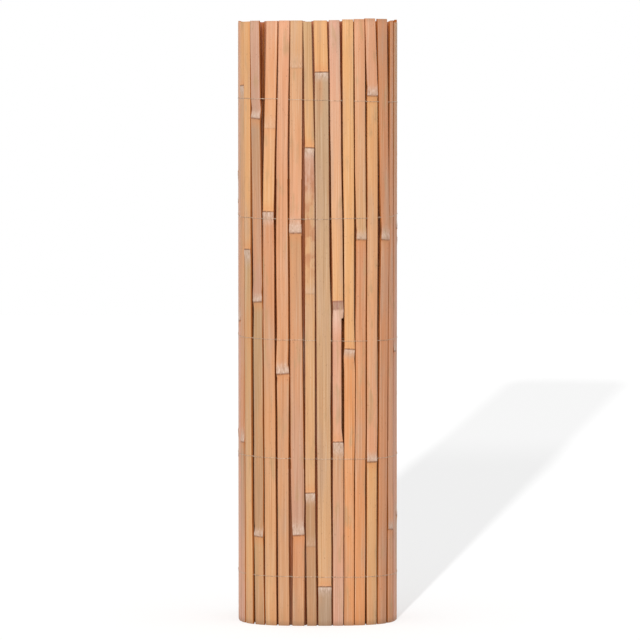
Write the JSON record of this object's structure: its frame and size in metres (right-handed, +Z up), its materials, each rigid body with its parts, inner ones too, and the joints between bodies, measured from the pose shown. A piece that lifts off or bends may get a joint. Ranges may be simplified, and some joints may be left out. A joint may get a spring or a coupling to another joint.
{
  "type": "rolled bamboo fence panel",
  "caption": "Bamboo fence panel rolled up and standing on its end: split slats side by side, held by level rows of thin wire.",
  "frame": {"origin": "middle of the roll's footprint, on the floor", "axes": "+Z up along the slats, -Y towards the side that the picture shows, +X to that side's right"},
  "size_m": [0.2679, 0.2534, 1],
  "materials": {
    "bamboo": "smooth natural skin, satin, unpainted",
    "wire": "galvanised, dull"
  },
  "bodies": {
    "root": {"slat_01": "bamboo", "slat_02": "bamboo", "slat_03": "bamboo", "slat_04": "bamboo", "slat_05": "bamboo", "slat_06": "bamboo", "slat_07": "bamboo", "slat_08": "bamboo", "slat_09": "bamboo", "slat_10": "bamboo", "slat_11": "bamboo", "slat_12": "bamboo", "slat_13": "bamboo", "slat_14": "bamboo", "slat_15": "bamboo", "slat_16": "bamboo", "slat_17": "bamboo", "slat_18": "bamboo", "slat_19": "bamboo", "slat_20": "bamboo", "slat_21": "bamboo", "slat_22": "bamboo", "slat_23": "bamboo", "slat_24": "bamboo", "slat_25": "bamboo", "slat_26": "bamboo", "slat_27": "bamboo", "slat_28": "bamboo", "slat_29": "bamboo", "slat_30": "bamboo", "slat_31": "bamboo", "slat_32": "bamboo", "slat_33": "bamboo", "slat_34": "bamboo", "slat_35": "bamboo", "slat_36": "bamboo", "slat_37": "bamboo", "slat_38": "bamboo", "slat_39": "bamboo", "turn_2_slats": "bamboo", "turn_3_slats": "bamboo", "turn_4_slats": "bamboo", "turn_5_slats": "bamboo", "turn_6_slats": "bamboo", "turn_7_slats": "bamboo", "wire_row_1": "wire", "wire_row_2": "wire", "wire_row_3": "wire", "wire_row_4": "wire", "wire_row_5": "wire"}
  },
  "joints": []
}
